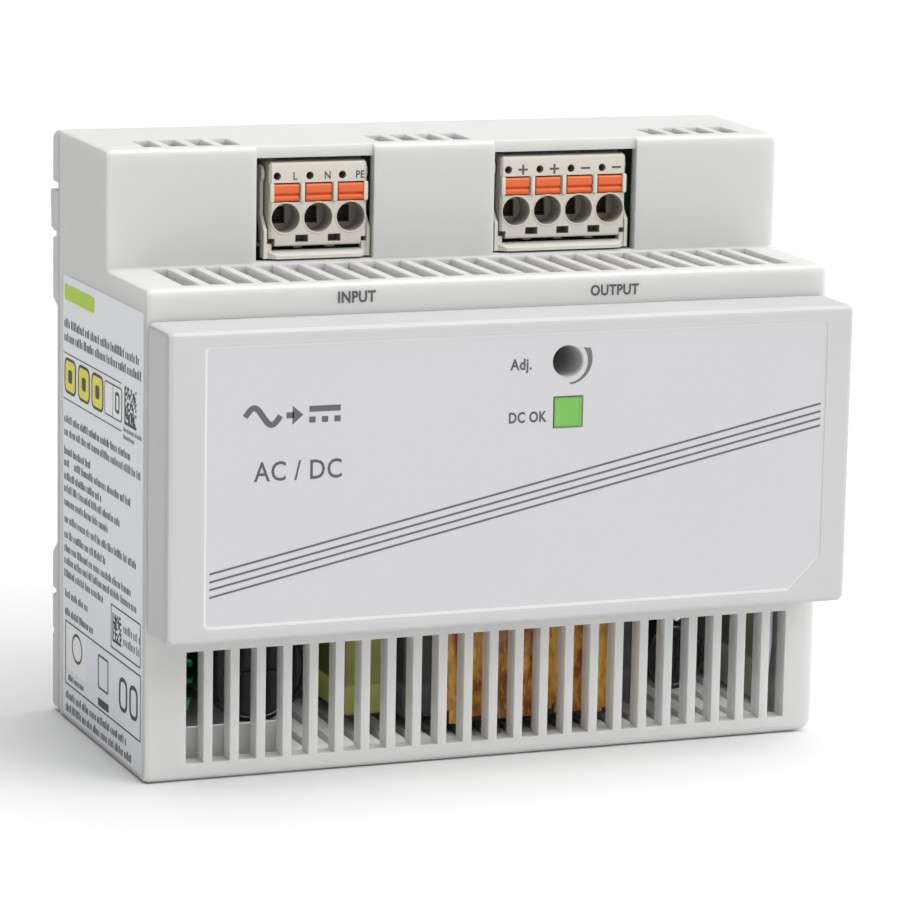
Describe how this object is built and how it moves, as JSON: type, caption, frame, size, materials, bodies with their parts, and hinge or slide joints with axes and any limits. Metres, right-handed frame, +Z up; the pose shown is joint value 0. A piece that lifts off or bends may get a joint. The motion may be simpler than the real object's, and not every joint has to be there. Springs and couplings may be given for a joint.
{
  "type": "din rail power supply",
  "caption": "Stepped DIN rail power supply: louvred plastic housing, raised front cap, two pluggable push-in terminal blocks, green status window, output adjuster and rail latch.",
  "frame": {"origin": "centre of the bottom face of the bounding box", "axes": "+X across the device to its right as seen from the front, +Y towards the mounting rail, +Z up; the printed front cap faces -Y"},
  "size_m": [0.108, 0.059, 0.09],
  "materials": {
    "housing_plastic": "fine matte texture",
    "cap_plastic": "fine matte texture",
    "front_film": "printed satin field",
    "rating_film": "silver-grey printed film",
    "base_plastic": "fine matte texture",
    "latch_plastic": "fine matte texture",
    "spring_steel": "drawn wire",
    "terminal_plastic": "satin moulded polyamide",
    "pusher_plastic": "satin moulded orange",
    "lever_plastic": "satin moulded polyamide",
    "header_plastic": "satin moulded polyamide",
    "board_laminate": "green solder mask",
    "zinc_screw": "zinc plated",
    "capacitor_sleeve": "black shrink sleeve",
    "film_capacitor_case": "olive yellow case",
    "ferrite": "dark sintered ferrite",
    "winding_tape": "amber polyester tape over copper",
    "bobbin_plastic": "black phenolic",
    "heatsink_aluminium": "extruded",
    "package_epoxy": "black moulding compound",
    "insulation_film": "milky polyester sheet",
    "fuse_sleeve": "brown cover",
    "blue_epoxy": "dipped coating",
    "dark_epoxy": "dipped coating",
    "green_core": "coated ring core",
    "green_wire": "green insulated wire",
    "enamelled_copper": "enamelled copper wire",
    "powder_core": "coated ring core",
    "trimmer_case": "moulded",
    "rotor_plastic": "moulded",
    "led_lens": "green lens",
    "light_pipe": "green translucent acrylic",
    "link_plastic": "black header strip"
  },
  "bodies": {
    "housing": {"front_housing": "housing_plastic", "front_cap": "cap_plastic", "front_label": "front_film", "rating_label": "rating_film", "rear_base": "base_plastic", "latch_spring": "spring_steel", "input_header": "header_plastic", "output_header": "header_plastic", "main_board": "board_laminate", "control_board": "board_laminate", "board_screw_1": "zinc_screw", "board_screw_2": "zinc_screw", "board_screw_3": "zinc_screw", "board_screw_4": "zinc_screw", "bulk_capacitor_1": "capacitor_sleeve", "bulk_capacitor_2": "capacitor_sleeve", "output_capacitor_1": "capacitor_sleeve", "output_capacitor_2": "capacitor_sleeve", "output_capacitor_3": "capacitor_sleeve", "x_capacitor": "film_capacitor_case", "transformer_core": "ferrite", "transformer_winding": "winding_tape", "transformer_bobbin": "bobbin_plastic", "primary_heatsink": "heatsink_aluminium", "output_heatsink": "heatsink_aluminium", "switching_transistor": "package_epoxy", "output_rectifier": "package_epoxy", "bridge_rectifier": "package_epoxy", "optocoupler": "package_epoxy", "controller_chip": "package_epoxy", "insulation_sheet": "insulation_film", "input_fuse": "fuse_sleeve", "varistor": "blue_epoxy", "y_capacitor_1": "blue_epoxy", "y_capacitor_2": "blue_epoxy", "inrush_limiter": "dark_epoxy", "choke_core": "green_core", "choke_winding": "green_wire", "output_choke_winding": "enamelled_copper", "output_choke_core": "powder_core", "trimmer_body": "trimmer_case", "dc_ok_led": "led_lens", "dc_ok_light_pipe": "light_pipe", "board_link": "link_plastic"},
    "din_latch": {"din_latch": "latch_plastic"},
    "input_plug": {"input_plug": "terminal_plastic"},
    "output_plug": {"output_plug": "terminal_plastic"},
    "input_lock_lever": {"input_lock_lever": "lever_plastic"},
    "output_lock_lever": {"output_lock_lever": "lever_plastic"},
    "trimmer_rotor": {"trimmer_rotor": "rotor_plastic"},
    "input_pusher_l": {"input_pusher_l": "pusher_plastic"},
    "input_pusher_n": {"input_pusher_n": "pusher_plastic"},
    "input_pusher_pe": {"input_pusher_pe": "pusher_plastic"},
    "output_pusher_1": {"output_pusher_1": "pusher_plastic"},
    "output_pusher_2": {"output_pusher_2": "pusher_plastic"},
    "output_pusher_3": {"output_pusher_3": "pusher_plastic"},
    "output_pusher_4": {"output_pusher_4": "pusher_plastic"}
  },
  "joints": [
    {"name": "latch_slide", "type": "slide", "parent": "housing", "child": "din_latch", "axis": [0, 0, -1], "range_m": [0, 0.004], "stiffness_N_per_m": 500, "springref_m": -0.004, "deforming": ["latch_spring"]},
    {"name": "input_plug_slide", "type": "slide", "parent": "housing", "child": "input_plug", "axis": [0, -1, 0], "range_m": [0, 0.014]},
    {"name": "output_plug_slide", "type": "slide", "parent": "housing", "child": "output_plug", "axis": [0, -1, 0], "range_m": [0, 0.014]},
    {"name": "input_lever_turn", "type": "hinge", "parent": "input_plug", "child": "input_lock_lever", "pos_m": [-0.02075, 0.0036, 0.0852], "axis": [-1, 0, 0], "range_deg": [0, 25]},
    {"name": "output_lever_turn", "type": "hinge", "parent": "output_plug", "child": "output_lock_lever", "pos_m": [0.01838, 0.0036, 0.0852], "axis": [-1, 0, 0], "range_deg": [0, 25]},
    {"name": "trimmer_turn", "type": "hinge", "parent": "housing", "child": "trimmer_rotor", "pos_m": [0.0073, -0.017, 0.0609], "axis": [0, -1, 0], "range_deg": [-135, 135]},
    {"name": "input_pusher_l_press", "type": "slide", "parent": "input_plug", "child": "input_pusher_l", "axis": [0, 1, 0], "range_m": [0, 0.0022], "stiffness_N_per_m": 600, "springref_m": -0.0005},
    {"name": "input_pusher_n_press", "type": "slide", "parent": "input_plug", "child": "input_pusher_n", "axis": [0, 1, 0], "range_m": [0, 0.0022], "stiffness_N_per_m": 600, "springref_m": -0.0005},
    {"name": "input_pusher_pe_press", "type": "slide", "parent": "input_plug", "child": "input_pusher_pe", "axis": [0, 1, 0], "range_m": [0, 0.0022], "stiffness_N_per_m": 600, "springref_m": -0.0005},
    {"name": "output_pusher_1_press", "type": "slide", "parent": "output_plug", "child": "output_pusher_1", "axis": [0, 1, 0], "range_m": [0, 0.0022], "stiffness_N_per_m": 600, "springref_m": -0.0005},
    {"name": "output_pusher_2_press", "type": "slide", "parent": "output_plug", "child": "output_pusher_2", "axis": [0, 1, 0], "range_m": [0, 0.0022], "stiffness_N_per_m": 600, "springref_m": -0.0005},
    {"name": "output_pusher_3_press", "type": "slide", "parent": "output_plug", "child": "output_pusher_3", "axis": [0, 1, 0], "range_m": [0, 0.0022], "stiffness_N_per_m": 600, "springref_m": -0.0005},
    {"name": "output_pusher_4_press", "type": "slide", "parent": "output_plug", "child": "output_pusher_4", "axis": [0, 1, 0], "range_m": [0, 0.0022], "stiffness_N_per_m": 600, "springref_m": -0.0005}
  ]
}
